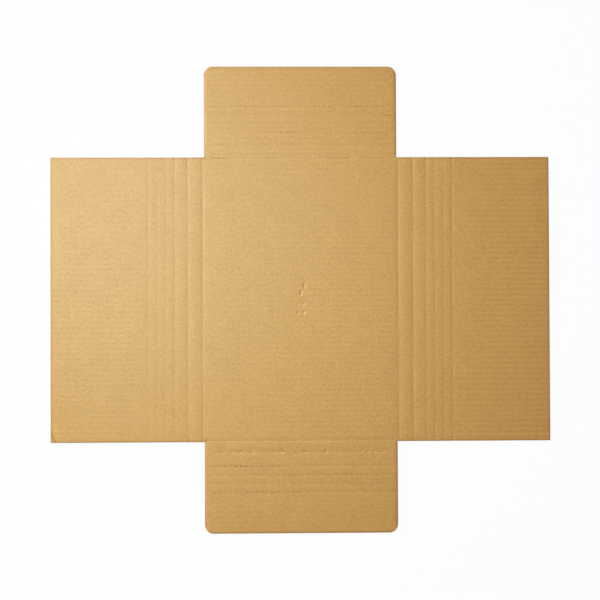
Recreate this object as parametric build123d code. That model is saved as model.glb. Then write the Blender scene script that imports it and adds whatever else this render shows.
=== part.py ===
from build123d import *
import os
from math import asin, atan2, degrees, hypot, tan

# A flattened cardboard box: the cross-shaped blank of a wrap-round mailer, lying flat with
# the inside of the box facing up. Two long wings fold in along X, and two shorter flaps fold
# in along Y, each at one of six creases, so that the box closes round contents of any depth.
# X runs along the flutes, Z is up, and the origin is under the middle of the centre panel.
# All sizes are in mm.

# The blank
panel_length = 223.5        # between the folds of the two wings
panel_width = 322.5         # between the folds of the two flaps
wing_reach = 173.0          # from a wing's fold to its outer edge
flap_reach = 105.0          # from a flap's fold to its outer edge
wing_overhang = 1.0         # how far a wing's sides stand past the flaps' folds
flap_inset = 1.8            # how far a flap's sides stand inside the wings' folds
flap_corner_radius = 10.0

# The board
board_thickness = 2.8
liner_thickness = 0.3
medium_thickness = 0.25
flute_pitch = 6.0
glue_line = 1.35            # flat of the medium on a liner, measured inside the channel

# The creases
first_depth = 14.0          # from a flap's fold to its next crease
second_depth = 15.0         # from there to the crease after it
small_depth = 10.0          # between its outer creases
small_depths = 3
rule_width = 1.1            # floor of every crease, pressed by the tip of the rule
crease_width = 3.2          # top of a crease along the flutes, which crushes them solid
crease_depth = 0.5
score_width = 2.4           # top of a crease across the flutes, pressed into the top liner
score_web = 0.1             # liner left under it
cut_length = 3.0            # the cuts along the flaps' creases, and the bridges between them
cut_bridge = 3.0
cut_width = 0.5

blank_length = panel_length + 2 * wing_reach
blank_width = panel_width + 2 * flap_reach
wing_width = panel_width + 2 * wing_overhang
flap_length = panel_length - 2 * flap_inset

# The first crease of each arm is its fold. The wings close over the folded flaps, so their
# other creases lie one board further out.
depths = [first_depth] + [
    first_depth + second_depth + small_depth * step for step in range(small_depths + 1)
]
flap_creases = [panel_width / 2] + [panel_width / 2 + depth for depth in depths]
wing_creases = [panel_length / 2] + [panel_length / 2 + depth + board_thickness for depth in depths]


def both_sides(places):
    """The places, and the same places on the other side of the centre."""
    return places + [-place for place in places]


def open_channels(first_middle, channel_width):
    """Middles of the channels that are crushed by no crease or edge along the flutes."""
    count = int(blank_width / flute_pitch)
    middles = [first_middle + flute_pitch * step for step in range(-count, count)]
    crushed = both_sides(flap_creases + [wing_width / 2, blank_width / 2])
    clear = (channel_width + crease_width) / 2 + medium_thickness
    return [
        middle
        for middle in middles
        if abs(middle) < blank_width / 2 and all(abs(middle - line) > clear for line in crushed)
    ]


def board():
    """A sheet of board: two liners, with a wave of medium that holds them apart."""
    channel_height = board_thickness - 2 * liner_thickness - medium_thickness
    rise = channel_height - medium_thickness
    run = flute_pitch / 2 - glue_line
    slope = atan2(rise, run) + asin(medium_thickness / hypot(rise, run))
    channel_width = glue_line + 2 * channel_height / tan(slope)
    channel = Trapezoid(channel_width, channel_height, degrees(slope)).wire()
    middle_height = liner_thickness + channel_height / 2
    channels = [
        Pos(place, middle_height) * channel for place in open_channels(0, channel_width)
    ] + [
        Pos(place, board_thickness - middle_height) * Rot(0, 0, 180) * channel
        for place in open_channels(flute_pitch / 2, channel_width)
    ]
    sheet = Pos(0, board_thickness / 2) * Rectangle(blank_width, board_thickness)
    section = Plane.YZ.offset(-blank_length / 2) * Face(sheet.wire(), channels)
    return extrude(section, blank_length)


def cross():
    """What the die cuts out of the sheet: the panel with its wings, and with its flaps."""
    with BuildSketch() as shape:
        Rectangle(blank_length, wing_width)
        Rectangle(flap_length, blank_width)
        rows = shape.vertices().group_by(Axis.Y)
        fillet(rows[0] + rows[-1], flap_corner_radius)
    return extrude(shape.sketch, board_thickness)


def groove(length, width, depth):
    """What a rule presses out of the top: a bar along X, level with the top of the board."""
    profile = make_face(
        Polyline(
            (-width / 2, 0), (-rule_width / 2, -depth), (rule_width / 2, -depth), (width / 2, 0),
            close=True,
        )
    )
    return Pos(0, 0, board_thickness) * extrude(Plane.YZ.offset(-length / 2) * profile, length)


def creases():
    """The grooves of all the creases."""
    crease = groove(flap_length, crease_width, crease_depth)
    score = Rot(0, 0, 90) * groove(wing_width, score_width, liner_thickness - score_web)
    return [Pos(0, place) * crease for place in both_sides(flap_creases)] + [
        Pos(place) * score for place in both_sides(wing_creases)
    ]


def perforation():
    """The cuts right through the board, in a row along each crease of the flaps."""
    cut = Pos(0, 0, board_thickness / 2) * Box(cut_length, cut_width, board_thickness)
    pitch = cut_length + cut_bridge
    count = int(flap_length / pitch)
    row = [pitch * (step - (count - 1) / 2) for step in range(count)]
    return [Pos(x, y) * cut for y in both_sides(flap_creases) for x in row]


blank = (board() & cross()) - creases() - perforation()

os.makedirs("parts", exist_ok=True)
export_step(blank, "parts/blank.step")
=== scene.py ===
from math import ceil, copysign, cos, exp, pi, radians, tau

import bmesh
import bpy
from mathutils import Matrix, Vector, noise


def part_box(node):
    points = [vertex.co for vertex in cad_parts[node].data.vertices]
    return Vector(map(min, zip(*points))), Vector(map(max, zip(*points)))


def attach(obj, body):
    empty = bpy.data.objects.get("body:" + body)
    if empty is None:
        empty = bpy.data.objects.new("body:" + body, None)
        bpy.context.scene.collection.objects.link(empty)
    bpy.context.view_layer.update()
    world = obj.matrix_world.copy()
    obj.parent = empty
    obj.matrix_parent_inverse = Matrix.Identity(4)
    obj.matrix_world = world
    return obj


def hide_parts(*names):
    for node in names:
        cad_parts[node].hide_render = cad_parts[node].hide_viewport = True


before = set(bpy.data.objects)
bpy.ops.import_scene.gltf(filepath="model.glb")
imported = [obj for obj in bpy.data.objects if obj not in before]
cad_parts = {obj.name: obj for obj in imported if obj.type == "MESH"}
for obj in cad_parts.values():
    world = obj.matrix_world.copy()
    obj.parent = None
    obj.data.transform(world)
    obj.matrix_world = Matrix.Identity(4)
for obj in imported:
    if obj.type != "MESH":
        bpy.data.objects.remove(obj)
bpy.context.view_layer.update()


# The sheet of board
# The whole box is one sheet of single-wall corrugated board: two kraft paper liners with a
# fluted medium glued between them. A die cuts it to a cross of a centre panel, two wings and
# two flaps with round corners, and crushes its edges a little as it goes through.
low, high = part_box("blank")
board_thickness = high.z
panel_length = 0.2235               # between the folds of the wings, along X
panel_width = 0.3225                # between the folds of the flaps, along Y
wing_overhang = 0.0010              # how far a wing's sides stand past the flaps' folds
flap_inset = 0.0018                 # how far a flap's sides stand inside the wings' folds
wing_side = panel_width / 2 + wing_overhang
flap_side = panel_length / 2 - flap_inset
corner_radius = 0.010
edge_round = 0.00012
one_place = 1e-6                    # points closer together than this are the same point
close_by = 1e-4                     # less than the board's smallest step

board = bmesh.new()
outline = [
    (high.x, -wing_side), (high.x, wing_side), (flap_side, wing_side), (flap_side, high.y),
    (-flap_side, high.y), (-flap_side, wing_side), (low.x, wing_side), (low.x, -wing_side),
    (-flap_side, -wing_side), (-flap_side, low.y), (flap_side, low.y), (flap_side, -wing_side),
]
cross = board.faces.new([board.verts.new((x, y, 0)) for x, y in outline])
raised = bmesh.ops.extrude_face_region(board, geom=[cross])["geom"]
raised = [part for part in raised if isinstance(part, bmesh.types.BMVert)]
bmesh.ops.translate(board, verts=raised, vec=(0, 0, board_thickness))
bmesh.ops.recalc_face_normals(board, faces=board.faces)


def bevel(edges, offset, segments):
    """Rounds these edges of the board."""
    bmesh.ops.bevel(
        board, geom=edges, offset=offset, offset_type="OFFSET", segments=segments, profile=0.5,
        affect="EDGES", material=-1,
    )


def corner_edges():
    """The upright edges at the four corners of the flaps."""
    upright = [e for e in board.edges if abs(e.verts[0].co.z - e.verts[1].co.z) > close_by]
    return [e for e in upright if abs(e.verts[0].co.y) > high.y - close_by]


def level_edges(height):
    """The edges of the board's outline at this height."""
    return [e for e in board.edges if all(abs(v.co.z - height) < one_place for v in e.verts)]


bevel(corner_edges(), corner_radius, 8)
bevel(level_edges(board_thickness), edge_round, 2)
bevel(level_edges(0), edge_round, 1)


# The folds
# Each arm can be folded at any of six parallel creases, so that the box closes round contents
# of any depth. A blunt rule presses each one into the inside of the board. The creases of the
# wings cross the flutes, and those of the flaps lie along them and are cut through in dashes.
depths = [0, 0.014, 0.029, 0.039, 0.049, 0.059]     # from an arm's fold to its creases
flap_creases = [panel_width / 2 + depth for depth in depths]
wing_creases = [panel_length / 2] + [
    panel_length / 2 + depth + board_thickness for depth in depths[1:]
]
flute_pitch = 0.006
cut_pitch = 0.006
cut_length = 0.003
cut_width = 0.0008
drawn_reach = 0.0085                # the board is drawn down this far from a wing's crease
wing_start = wing_creases[0] - drawn_reach
wing_end = wing_creases[-1] + drawn_reach
flap_start = flap_creases[0] - 0.0050


def top_of(limit):
    """The faces on top of the board whose middles are inside the limit."""
    return [f for f in board.faces if f.normal.z > 0.05 and limit(f.calc_center_median())]


def under_of(limit):
    """The faces below the board whose middles are inside the limit."""
    return [f for f in board.faces if f.normal.z < -0.05 and limit(f.calc_center_median())]


def score_lines(faces, axis, places):
    """Divides these faces along a line at each place on the axis, 0 for X or 1 for Y."""
    normal = Vector((axis == 0, axis == 1, 0))
    edges = {e for f in faces for e in f.edges}
    geom = faces + list(edges) + list({v for e in edges for v in e.verts})
    for place in places:
        geom = bmesh.ops.bisect_plane(
            board, geom=geom, dist=one_place, plane_co=normal * place, plane_no=normal,
        )["geom"]


def both_sides(places):
    """The places, and the same places on the other side of the centre."""
    return sorted(places + [-place for place in places])


def filled(places, step):
    """The places, with more between them so that no two are further apart than the step."""
    full = []
    for first, last in zip(places, places[1:]):
        count = ceil((last - first) / step - 1e-6)
        full += [first + (last - first) * number / count for number in range(count)]
    return full + places[-1:]


def around(creases, distances):
    """Places at these distances on both sides of every crease."""
    return [crease + distance for crease in creases for distance in both_sides(distances)]


def anywhere(middle):
    return True


def beyond_panel(middle):
    return abs(middle.y) > flap_start


def in_flap(middle):
    return beyond_panel(middle) and abs(middle.x) < flap_side


def not_in_flap(middle):
    return not in_flap(middle)


def in_wing(middle):
    return not in_flap(middle) and abs(middle.x) > wing_start


def between_wings(middle):
    return not in_flap(middle) and abs(middle.x) < wing_start


plain_step = 0.012                  # the longest faces, where nothing crosses the flutes
crease_step = 0.0032                # the longest ones between the wings' creases
least_gap = 0.0006                  # between lines along the flutes
least_rim = 0.0008                  # between such a line and the board's edge
wing_lines = around(wing_creases, [0.0006, 0.0015, 0.0030]) + wing_creases
wing_lines = filled(sorted(wing_lines + [wing_start, wing_end]), crease_step)[1:]
wing_lines += filled([wing_end, high.x - 0.0028], plain_step)[1:] + [high.x - 0.0013]
wing_under = sorted(around(wing_creases, [0.0015]) + [wing_start, high.x])
wing_under = filled(wing_under, plain_step)[1:-1]
flap_lines = around(flap_creases, [cut_width / 2, 0.0008, 0.0016, 0.0030])
flap_under = around(flap_creases, [cut_width / 2, 0.0016])
cut_count = int(2 * flap_side / cut_pitch)
cut_middles = [cut_pitch * (number - (cut_count - 1) / 2) for number in range(cut_count)]
cut_ends = [middle + end for middle in cut_middles for end in (-cut_length / 2, cut_length / 2)]

for side, across, along, ribs_per_flute, reach in (
    (top_of, wing_lines, flap_lines, 4, 0.0031),
    (under_of, wing_under, flap_under, 2, cut_width / 2),
):
    rib_count = int(high.y / flute_pitch * ribs_per_flute) + 1
    ribs = [flute_pitch / ribs_per_flute * number for number in range(rib_count)]
    wing_ribs = [rib for rib in ribs if 0 < rib < wing_side - least_rim]
    flap_ribs = [rib for rib in ribs if flap_start + least_gap < rib < high.y - least_rim]
    flap_ribs = [rib for rib in flap_ribs if all(abs(rib - line) > least_gap for line in along)]
    score_lines(side(anywhere), 1, both_sides([flap_start]))
    score_lines(side(beyond_panel), 0, both_sides([flap_side]))
    score_lines(side(not_in_flap), 0, both_sides([wing_start]))
    score_lines(side(in_wing), 0, both_sides(across))
    score_lines(side(between_wings), 0, filled([-wing_start, wing_start], plain_step)[1:-1])
    score_lines(side(in_flap), 0, cut_ends)
    score_lines(side(in_flap), 1, both_sides(along + flap_ribs))
    score_lines(side(not_in_flap), 1, both_sides(wing_ribs) + [0])
    by_creases = [
        f for f in side(in_flap)
        if any(abs(abs(f.calc_center_median().y) - crease) < reach for crease in flap_creases)
    ]
    score_lines(by_creases, 0, cut_middles + [middle + cut_pitch / 2 for middle in cut_middles])


# The cuts
# Each dash along a flap's crease is a cut by a toothed blade right through the board. Most of
# them have closed up again to a fine line, and stretches of a few have stayed open.
cut_lean = 0.0004                   # how far a cut leans towards the panel as it goes down
closed_share = 0.04                 # how far open a closed cut stays
open_stretches = [                  # side, crease, from, to, how far open
    (-1, 2, -0.100, -0.024, 0.70), (-1, 2, -0.024, 0.004, 0.36), (-1, 3, -0.028, 0.098, 0.42),
    (-1, 4, 0.046, 0.098, 0.36), (-1, 4, -0.096, -0.085, 0.32), (-1, 5, -0.104, 0.002, 0.55),
    (-1, 0, -0.100, -0.060, 0.18), (1, 0, -0.101, -0.085, 0.40), (1, 0, 0.029, 0.053, 0.30),
    (1, 0, 0.070, 0.095, 0.20), (1, 1, -0.100, -0.080, 0.20), (1, 2, 0.046, 0.100, 0.26),
    (1, 2, -0.024, -0.010, 0.34), (1, 4, 0.083, 0.105, 0.32), (1, 5, -0.101, -0.066, 0.15),
    (1, 5, -0.064, -0.049, 0.38), (1, 5, -0.047, -0.028, 0.15), (1, 5, -0.027, -0.012, 0.32),
    (1, 5, 0.005, 0.037, 0.18), (1, 5, 0.050, 0.081, 0.32), (1, 5, 0.083, 0.100, 0.18),
]


def cut_cells(faces):
    """The faces that lie inside the dashes of the flaps' creases."""
    cells = []
    for face in faces:
        middle = face.calc_center_median()
        number = min(max(round(middle.x / cut_pitch + (cut_count - 1) / 2), 0), cut_count - 1)
        inside = abs(middle.x - cut_middles[number]) < cut_length / 2
        if inside and any(abs(abs(middle.y) - crease) < cut_width / 4 for crease in flap_creases):
            cells.append(face)
    return cells


def stretch_value(stretches, x, line):
    """What a table of stretches says of this place on a flap's crease."""
    for side, number, start, end, value in stretches:
        if abs(line - side * flap_creases[number]) < one_place and start < x < end:
            return value
    return 0.0


def opening(x, line):
    """How far open the cuts of this crease are here, as a share of the blade's width."""
    varied = 1 + 0.9 * noise.noise(Vector((x / 0.004, line / 0.001, 6)))
    return closed_share + stretch_value(open_stretches, x, line) * varied


uncut = set(board.faces)
cut_unders = cut_cells(under_of(in_flap))
cut_tops = cut_cells(top_of(in_flap))
cuts = bmesh.ops.extrude_face_region(
    board, geom=cut_tops + list({e for f in cut_tops for e in f.edges}),
)["geom"]
cut_floors = [part for part in cuts if isinstance(part, bmesh.types.BMFace)]
cut_rims = [part for part in cuts if isinstance(part, bmesh.types.BMVert)]
bmesh.ops.translate(board, verts=cut_rims, vec=(0, 0, -board_thickness))
cut_rims += list({v for f in cut_unders for v in f.verts})
bmesh.ops.delete(board, geom=cut_floors + cut_unders, context="FACES")
bmesh.ops.remove_doubles(board, verts=cut_rims, dist=one_place)
cut_wall_slot = 2
for face in board.faces:
    if face not in uncut:
        face.material_index = cut_wall_slot
for vert in board.verts:
    nearest = min(both_sides(flap_creases), key=lambda crease: abs(crease - vert.co.y))
    away = vert.co.y - nearest
    if abs(away) < cut_width * 0.6 and abs(vert.co.x) < cut_ends[-1] + close_by:
        below = vert.co.z < board_thickness / 2
        lean = cut_lean * below * (-1 if nearest > 0 else 1)
        vert.co.y = nearest + away * opening(vert.co.x, nearest) * (0.5 if below else 1) + lean


# The flutes
# The medium is paper that hot rollers bend into waves. The channels between its waves run
# along X and are open at the ends of the wings and the sides of the flaps. The creases of the
# flaps crush the ones that they lie on, and the rest are a little flatter between the arms.
liner = 0.0003
medium = 0.00025
channel_height = board_thickness - 2 * liner - medium
channel_top = 0.00135
channel_base = 0.00448
channel_round = 0.0005
channel_lean = 0.00012              # the most that a wave leans over
flattened = 0.82                    # the height that is left between the arms' creases
raw_slot = 1


def open_channels(first):
    """Middles of the channels that no crease or edge along the flutes crushes."""
    lines = both_sides(flap_creases + [wing_side])
    clear = channel_base / 2 + 0.0016 + medium
    count = int(high.y / flute_pitch) + 1
    middles = [first + flute_pitch * number for number in range(-count, count)]
    return [
        m for m in middles
        if abs(m) < high.y - corner_radius - channel_base / 2
        and all(abs(m - line) > clear for line in lines)
    ]


def channel_loop(x, middle, upright):
    """The rim of one channel, as a face that is taken away again."""
    base = liner if upright else board_thickness - liner
    tip = base + channel_height * (1 if upright else -1)
    lean = channel_lean * noise.noise(Vector((middle * 90, 3.1, 0)))
    points = [
        (middle - channel_base / 2, base), (middle + channel_base / 2, base),
        (middle + channel_top / 2 + lean, tip), (middle - channel_top / 2 + lean, tip),
    ]
    face = board.faces.new([board.verts.new((x, y, z)) for y, z in points])
    bmesh.ops.bevel(
        board, geom=list(face.verts), offset=channel_round, offset_type="OFFSET", segments=2,
        profile=0.5, affect="VERTICES", material=-1,
    )


def bore(group, end, pressed):
    """Takes channels from one end of the board to the other, flatter between the pressed ends."""
    walls = [
        f for f in board.faces
        if abs(f.normal.x) > 0.99 and abs(abs(f.calc_center_median().x) - end) < 1e-5
    ]
    rims = [(wall.calc_center_median().copy(), list(wall.edges)) for wall in walls]
    bmesh.ops.delete(board, geom=walls, context="FACES_ONLY")
    before = set(board.faces)
    for middle, upright in group:
        channel_loop(-end, middle, upright)
    loops = [f for f in board.faces if f not in before]
    first = mouth = list({e for f in loops for e in f.edges})
    raw_faces = []
    for place, height in ((-pressed, flattened), (pressed, 1.0), (end, 1 / flattened)):
        tube = bmesh.ops.extrude_edge_only(board, edges=mouth)["geom"]
        ring = {part for part in tube if isinstance(part, bmesh.types.BMVert)}
        for vert in ring:
            vert.co.x = place
            vert.co.z *= height
        raw_faces += [part for part in tube if isinstance(part, bmesh.types.BMFace)]
        mouth = [
            part for part in tube
            if isinstance(part, bmesh.types.BMEdge) and ring.issuperset(part.verts)
        ]
    bmesh.ops.delete(board, geom=loops, context="FACES_ONLY")
    for centre, rim in rims:
        ys = [v.co.y for e in rim for v in e.verts]
        inside = [
            e for e in (first if centre.x < 0 else mouth) if min(ys) < e.verts[0].co.y < max(ys)
        ]
        filled_wall = bmesh.ops.triangle_fill(
            board, use_beauty=True, edges=rim + inside, normal=(1 if centre.x > 0 else -1, 0, 0),
        )["geom"]
        raw_faces += [part for part in filled_wall if isinstance(part, bmesh.types.BMFace)]
    for face in raw_faces:
        face.material_index = raw_slot


channels = [(m, True) for m in open_channels(0)]
channels += [(m, False) for m in open_channels(flute_pitch / 2)]
bore([c for c in channels if abs(c[0]) < wing_side], high.x, wing_end + 0.004)
bore([c for c in channels if abs(c[0]) > wing_side], flap_side, flap_side - 0.012)
bmesh.ops.recalc_face_normals(board, faces=board.faces)


# The pressed creases
# The rule leaves a groove with soft shoulders at every crease, uneven along its length. The
# folds of the wings were pressed harder on the right, and the lower flap's second crease has
# buckled, so that its edge catches the light in specks.
left_creases = [0.00029, 0.00022, 0.000145, 0.00009, 0.000085, 0.000155]
right_creases = [0.00037, 0.00032, 0.00021, 0.000185, 0.00019, 0.00027]
upper_creases = [0.00030, 0.00038, 0.00032, 0.00021, 0.00025, 0.00028]
lower_creases = [0.00028, 0.00027, 0.00025, 0.00018, 0.00017, 0.00021]
lower_shifts = [0, 0.0008, 0, 0, 0, 0]      # how far they lie nearer to the panel
wing_shoulders = [0.0080, 0.0080, 0.0055, 0.0050, 0.0050, 0.0060]
flap_shoulders = [0.0045, 0.0060, 0.0050, 0.0045, 0.0045, 0.0045]
flap_crease_reach = 0.0095
crushed_width = 0.0016
pit_depth = 0.00015                 # at a cut that is fully open
buckled_least = 0.0001
buckled_stretches = [               # side, crease, from, to, how deep
    (-1, 1, -0.107, 0.107, 0.0019), (1, 0, -0.078, -0.038, 0.0005), (1, 0, 0.060, 0.107, 0.0008),
]


def bell(distance, width):
    """1 at no distance, and smoothly down to nothing past the width."""
    return exp(-((distance / width) ** 2))


def dip(distance, shoulder):
    """The section of a crease: a sharp bottom, with sides that level out at the shoulders."""
    away = abs(distance)
    return 0.38 * exp(-away / 0.0010) + 0.62 * max(0.0, 1 - away / shoulder) ** 2


def uneven(x, y, size, seed):
    """A smooth random value from about -1 to 1 that changes over this size."""
    return noise.noise(Vector((x / size, y / size, seed)))


def wing_relief(x, y):
    """How far the creases of the wings draw the top of the board down here."""
    down = 0.0
    reliefs = left_creases if x < 0 else right_creases
    for crease, depth, shoulder in zip(wing_creases, reliefs, wing_shoulders):
        away = abs(x) - crease
        if abs(away) < drawn_reach:
            varied = 1 + 0.50 * uneven(crease, y, 0.030, 1) + 0.35 * uneven(crease, y, 0.008, 7)
            down += depth * varied * dip(away, shoulder)
    return down


def flap_relief(x, y):
    """How far the creases of the flaps draw the top down, and how flat they crush it."""
    down = crushed = 0.0
    if abs(x) > flap_side + close_by:
        return down, crushed
    reliefs = lower_creases if y < 0 else upper_creases
    for number, crease in enumerate(flap_creases):
        away = abs(y) - crease + (lower_shifts[number] if y < 0 else 0)
        if abs(away) > flap_crease_reach:
            continue
        line = copysign(crease, y)
        in_cut = 0.5 - 0.5 * cos(tau * x / cut_pitch)
        varied = 0.85 + 0.7 * uneven(x, line, 0.020, 2) + 0.3 * in_cut
        down += reliefs[number] * varied * dip(away, flap_shoulders[number])
        buckled = buckled_least + stretch_value(buckled_stretches, x, line)
        ripple = uneven(x, line, 0.0050, 3) + 0.5 * uneven(x, line, 0.0021, 4)
        low_side = away * y < 0
        down += buckled * bell(away, 0.0009 if low_side else 0.0060) * max(0.0, ripple - 0.04)
        down += pit_depth * opening(x, line) * in_cut * bell(away, 0.0011)
        crushed = max(crushed, bell(away, crushed_width))
    return down, crushed


# The press mark
# The die leaves a small blind mark in the middle of the panel: two short bars and four
# dimples, pressed into the top liner and the medium below it.
mark_reach = Vector((0.0090, 0.0234))
mark_depth = 0.0007
mark_bars = [((0.0042, 0.0180), (0.0042, 0.0140)), ((0.0004, 0.0088), (0.0004, 0.0056))]
mark_dimples = [(-0.0032, -0.0055), (0.0028, -0.0055), (-0.0032, -0.0152), (0.0028, -0.0152)]
mark_step = 0.0006


def in_mark(middle):
    return abs(middle.x) < mark_reach.x and abs(middle.y) < mark_reach.y


score_lines(top_of(in_mark), 0, filled([-mark_reach.x, mark_reach.x], mark_step))
score_lines(top_of(in_mark), 1, filled([-mark_reach.y, mark_reach.y], mark_step))


def bar_distance(x, y, bar):
    """The distance from a point to a straight bar."""
    start, end = (Vector(point) for point in bar)
    along = end - start
    share = min(max((Vector((x, y)) - start).dot(along) / along.length_squared, 0), 1)
    return (Vector((x, y)) - start - along * share).length


def mark_relief(x, y):
    """How far the mark is pressed in here."""
    if not in_mark(Vector((x, y))):
        return 0.0
    bars = [bell(bar_distance(x, y, bar), 0.0013) for bar in mark_bars]
    dimples = [0.8 * bell(Vector((x - dx, y - dy)).length, 0.0017) for dx, dy in mark_dimples]
    return mark_depth * max(bars + dimples)


# The worn corner
# One corner of the left wing has been knocked. That leaves a short dent across it, with
# shade painted along the bottom of the dent.
worn_reach = 0.0168
worn_step = 0.0008
worn_depth = 0.0003
dent_start = Vector((low.x, 0.0130 - wing_side))
dent_end = Vector((low.x + 0.0056, 0.0006 - wing_side))
along_dent = (dent_end - dent_start).normalized()


def in_worn_corner(middle):
    return middle.x < low.x + worn_reach and middle.y < worn_reach - wing_side


worn_places = filled([low.x, low.x + worn_reach], worn_step)[1:-1]
score_lines(top_of(in_worn_corner), 0, worn_places)
worn_places = filled([-wing_side, worn_reach - wing_side], worn_step)[1:-1]
score_lines(top_of(in_worn_corner), 1, worn_places)


def worn_relief(x, y):
    """How far the knock has dented the corner here: steeply on its outer side."""
    if not in_worn_corner(Vector((x, y))):
        return 0.0
    outside = along_dent.cross(Vector((x, y)) - dent_start) < 0
    away = bar_distance(x, y, (dent_start, dent_end))
    return worn_depth * bell(away, 0.0008 if outside else 0.0020)


# The faces of the sheet
# The liner sags a little between the flutes, which is the washboard look of such board, most
# on the right wing and the upper flap. The edges are rolled down where the die cut them.
washboard_depth = 0.000057
right_wing_gain = 2.5               # how much deeper it is by the end of the right wing
upper_flap_gain = 3.3
lower_flap_gain = 1.3
rolled_depth = 0.00008
rolled_width = 0.0016


def edge_distance(x, y):
    """How far a point lies inside the outline of the cross."""
    inside_wings = min(high.x - abs(x), wing_side - abs(y))
    inside_flaps = min(flap_side - abs(x), high.y - abs(y))
    return max(inside_wings, inside_flaps)


def top_relief(x, y):
    """How far the top of the board lies below its full thickness."""
    down, crushed = flap_relief(x, y)
    gain = 1 + right_wing_gain * max(0.0, x / high.x)
    if abs(y) > wing_side:
        gain = upper_flap_gain if y > 0 else lower_flap_gain
    sag = washboard_depth * gain * (1 - crushed)
    sag *= 1 + 0.5 * uneven(x, y, 0.05, 5) + 0.5 * uneven(x, 9 * y, 0.02, 8)
    down += sag * (0.5 - 0.5 * cos(tau * y / flute_pitch))
    down += rolled_depth * bell(max(edge_distance(x, y), 0), rolled_width)
    return max(0.0, down + wing_relief(x, y) + mark_relief(x, y) + worn_relief(x, y))


def under_relief(x, y):
    """How far the underside lies above the surface that the board rests on."""
    up = 0.00002 * (0.5 + 0.5 * cos(tau * y / flute_pitch))
    for crease in wing_creases:
        up += 0.00004 * bell(abs(x) - crease, 0.0012)
    for crease in flap_creases:
        if abs(x) < flap_side + close_by:
            up += 0.00010 * bell(abs(y) - crease, 0.0010)
    return up


for vert in board.verts:
    x, y, z = vert.co
    share = z / board_thickness
    vert.co.z = z - share * top_relief(x, y) + (1 - share) * under_relief(x, y)

sharpest_fold = radians(35)
for edge in board.edges:
    edge.smooth = edge.calc_face_angle(pi) < sharpest_fold
for face in board.faces:
    face.smooth = True

mesh = bpy.data.meshes.new("corrugated_blank")
board.to_mesh(mesh)
board.free()
blank = bpy.data.objects.new("corrugated_blank", mesh)
bpy.context.scene.collection.objects.link(blank)
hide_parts("blank")
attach(blank, "root")


# The paper
# The liners are uncoated brown kraft: matt, with a fine fibrous grain, faint clouds of pulp
# and a few dark slivers of bark. The colour is darker in a band along the outline, and shade is
# painted along the bottom of the dent in the worn corner.
class Value:
    """A number that varies over a surface, so that a mask reads as an expression."""

    def __init__(self, finish, socket):
        self.finish, self.socket = finish, socket

    def worked(self, operation, first, second):
        settings = {"operation": operation}
        return self.finish.node("ShaderNodeMath", settings, {0: first, 1: second}, "Value")

    def __add__(self, other):
        return self.worked("ADD", self, other)

    def __sub__(self, other):
        return self.worked("SUBTRACT", self, other)

    def __rsub__(self, other):
        return self.worked("SUBTRACT", other, self)

    def __mul__(self, other):
        return self.worked("MULTIPLY", self, other)

    def __gt__(self, other):
        return self.worked("GREATER_THAN", self, other)

    def __abs__(self):
        return self.worked("ABSOLUTE", self, 0.0)

    def at_most(self, other):
        return self.worked("MINIMUM", self, other)

    def at_least(self, other):
        return self.worked("MAXIMUM", self, other)

    __radd__ = __add__
    __rmul__ = __mul__


class Finish:
    """The look of a surface or of the room, built up node by node."""

    def __init__(self, owner):
        owner.use_nodes = True
        self.owner = owner
        self.nodes, self.links = owner.node_tree.nodes, owner.node_tree.links
        self.nodes.clear()

    def node(self, kind, settings, sockets, output=0):
        """Adds a node, with its settings first and then its sockets, and gives one output."""
        made = self.nodes.new(kind)
        for name, value in settings.items():
            setattr(made, name, value)
        for name, value in sockets.items():
            if isinstance(value, Value):
                self.links.new(value.socket, made.inputs[name])
            else:
                made.inputs[name].default_value = value
        return Value(self, made.outputs[output]) if output is not None else None

    def place(self, stretch=(1, 1, 1)):
        """The point on the surface, in metres, stretched by these factors."""
        point = self.node("ShaderNodeTexCoord", {}, {}, "Object")
        return self.node("ShaderNodeMapping", {}, {"Vector": point, "Scale": stretch}, "Vector")

    def axis(self, name):
        """One coordinate of the point on the surface."""
        return self.node("ShaderNodeSeparateXYZ", {}, {"Vector": self.place()}, name)

    def grain(self, size, stretch=(1, 1, 1), detail=2.0, roughness=0.5):
        """Noise from 0 to 1 with spots of about this size, in metres."""
        sockets = {"Scale": 1 / size, "Detail": detail, "Roughness": roughness}
        sockets["Vector"] = self.place(stretch)
        return self.node("ShaderNodeTexNoise", {}, sockets, "Fac")

    def mix(self, factor, first, second):
        settings = {"data_type": "RGBA", "clamp_factor": True}
        return self.node("ShaderNodeMix", settings, {0: factor, 6: first, 7: second}, 2)

    def surface(self, sockets):
        """Ends a material with its shader."""
        shader = self.node("ShaderNodeBsdfPrincipled", {}, sockets)
        self.node("ShaderNodeOutputMaterial", {}, {"Surface": shader}, None)
        return self.owner

    def seen(self):
        """1 where the camera looks, and 0 for the light that falls on the board."""
        return self.node("ShaderNodeLightPath", {}, {}, "Is Camera Ray")


dark_kraft = (0.565, 0.313, 0.070, 1)
light_kraft = (0.728, 0.435, 0.123, 1)
bark_brown = (0.25, 0.13, 0.05, 1)
rim_brown = (0.30, 0.155, 0.030, 1)
dent_shade_brown = (0.20, 0.10, 0.02, 1)
dark_rim_width = 0.0038
dent_shade_width = 0.0008

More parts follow.
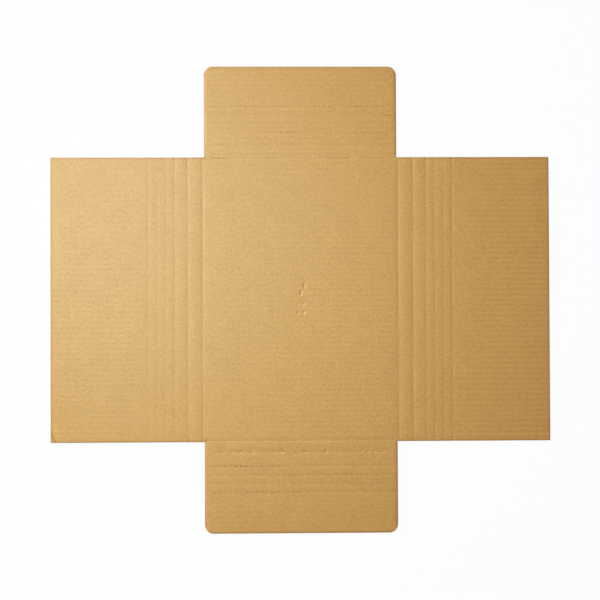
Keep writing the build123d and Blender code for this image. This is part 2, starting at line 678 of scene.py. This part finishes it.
kraft = Finish(bpy.data.materials.new("kraft_liner"))
fine_grain = kraft.grain(0.0022, (0.85, 1.0, 1.0), detail=3.0, roughness=0.6)
fibres = kraft.grain(0.0009, (0.3, 1.0, 1.0))
pulp_clouds = kraft.grain(0.022, detail=3.0)
tone = 0.5 + 0.35 * (pulp_clouds - 0.5) + 1.8 * (fine_grain - 0.5) + 0.8 * (fibres - 0.5)
brown = kraft.mix(tone, dark_kraft, light_kraft)
bark = kraft.grain(0.0016, (0.55, 1.0, 1.0), detail=1.0) > 0.78
brown = kraft.mix(bark * 0.45, brown, bark_brown)
from_middle_x, from_middle_y = (abs(kraft.axis(name)) for name in "XY")
in_wings = (high.x - from_middle_x).at_most(wing_side - from_middle_y)
in_flaps = (flap_side - from_middle_x).at_most(high.y - from_middle_y)
# The colour darkens in a band along the outline of the cross.
rim = (1 - in_wings.at_least(in_flaps) * (1 / dark_rim_width)).at_least(0.0)
brown = kraft.mix(rim * rim * 0.55, brown, rim_brown)
# Painted shade along the bottom of the worn corner's dent.
from_dent_x = (kraft.axis("X") - dent_start.x) * -along_dent.y
from_dent_y = (kraft.axis("Y") - dent_start.y) * along_dent.x
dent_shade = (1 - abs(from_dent_x + from_dent_y) * (1 / dent_shade_width)).at_least(0.0)
brown = kraft.mix(dent_shade * 0.8, brown, dent_shade_brown)
tooth = kraft.node("ShaderNodeBump", {}, {
    "Strength": 0.25, "Distance": 0.0001, "Height": fine_grain + 0.5 * fibres,
}, "Normal")
mesh.materials.append(kraft.surface({
    "Base Color": brown, "Roughness": 0.42 + 0.06 * fine_grain, "Normal": tooth, "IOR": 1.5,
}))

# The cut edges and the inside of the flutes show the same paper, raw and a little darker.
raw = Finish(bpy.data.materials.new("kraft_cut_edge"))
shreds = raw.grain(0.0008, (1.0, 1.0, 3.0), detail=3.0, roughness=0.6)
mesh.materials.append(raw.surface({
    "Base Color": raw.mix(shreds, (0.42, 0.245, 0.09, 1), (0.60, 0.375, 0.155, 1)),
    "Roughness": 0.85,
}))

# The walls of the dashed cuts are painted dark: painted shade for the inside of the cuts.
cut_shade = Finish(bpy.data.materials.new("kraft_cut_painted_shade"))
mesh.materials.append(cut_shade.surface({
    "Base Color": cut_shade.mix(cut_shade.grain(0.0008), (0.17, 0.065, 0.010, 1), (0.27, 0.105, 0.018, 1)),
    "Roughness": 0.85, "Specular IOR Level": 0.0,
}))


# The studio
# The board lies on a plain white table in a white room. A small soft box above the left wing
# and a large one low at the upper left light it, so that the creases show by their shadows.
table_mesh = bmesh.new()
bmesh.ops.create_grid(table_mesh, x_segments=1, y_segments=1, size=6)
bmesh.ops.translate(table_mesh, verts=table_mesh.verts, vec=(0, 0, -0.0001))
table_data = bpy.data.meshes.new("floor")
table_mesh.to_mesh(table_data)
table_mesh.free()
table = bpy.data.objects.new("floor", table_data)
bpy.context.scene.collection.objects.link(table)

top = Finish(bpy.data.materials.new("white_table"))
paint = top.node("ShaderNodeBsdfDiffuse", {}, {"Color": (0.85, 0.85, 0.85, 1)})
glow = top.node("ShaderNodeEmission", {}, {"Color": (1, 1, 1, 1), "Strength": 1.0})
shown = top.node("ShaderNodeMixShader", {}, {"Fac": 0.96 * top.seen(), 1: paint, 2: glow})
top.node("ShaderNodeOutputMaterial", {}, {"Surface": shown}, None)
table_data.materials.append(top.owner)

room = Finish(bpy.data.worlds.new("studio"))
light = room.node("ShaderNodeBackground", {}, {"Color": (1.0, 0.70, 0.63, 1), "Strength": 0.35})
white = room.node("ShaderNodeBackground", {}, {"Color": (1, 1, 1, 1), "Strength": 1.0})
walls = room.node("ShaderNodeMixShader", {}, {"Fac": room.seen(), 1: light, 2: white})
room.node("ShaderNodeOutputWorld", {}, {"Surface": walls}, None)
bpy.context.scene.world = room.owner


def soft_box(name, place, aim, size, spread, power, colour):
    """A square lamp that points at a place on the board."""
    data = bpy.data.lights.new(name, "AREA")
    data.size, data.spread, data.energy, data.color = size, radians(spread), power, colour
    lamp = bpy.data.objects.new(name, data)
    lamp.location = place
    lamp.rotation_euler = (Vector(aim) - Vector(place)).to_track_quat("-Z", "Y").to_euler()
    bpy.context.scene.collection.objects.link(lamp)


soft_box("key", (-0.50, 0.30, 1.35), (-0.15, 0.03, 0), 0.5, 40, 0.82, (0.50, 0.71, 1.0))
soft_box("low_key", (-2.2, 1.2, 0.75), (-0.05, 0, 0), 0.8, 180, 100.0, (0.92, 1.0, 0.99))


# The camera
# It stands 1.6 m over the middle of the board and looks almost straight down, with the upper
# flap at the top of the picture.
camera = bpy.data.objects.new("camera", bpy.data.cameras.new("camera"))
bpy.context.scene.collection.objects.link(camera)
camera.data.lens = 85
camera.location = (-0.0334, -0.0283, 1.6187)
camera.rotation_euler = (0.01705, -0.02004, -0.00394)
bpy.context.scene.camera = camera
bpy.context.scene.view_settings.view_transform = "Standard"
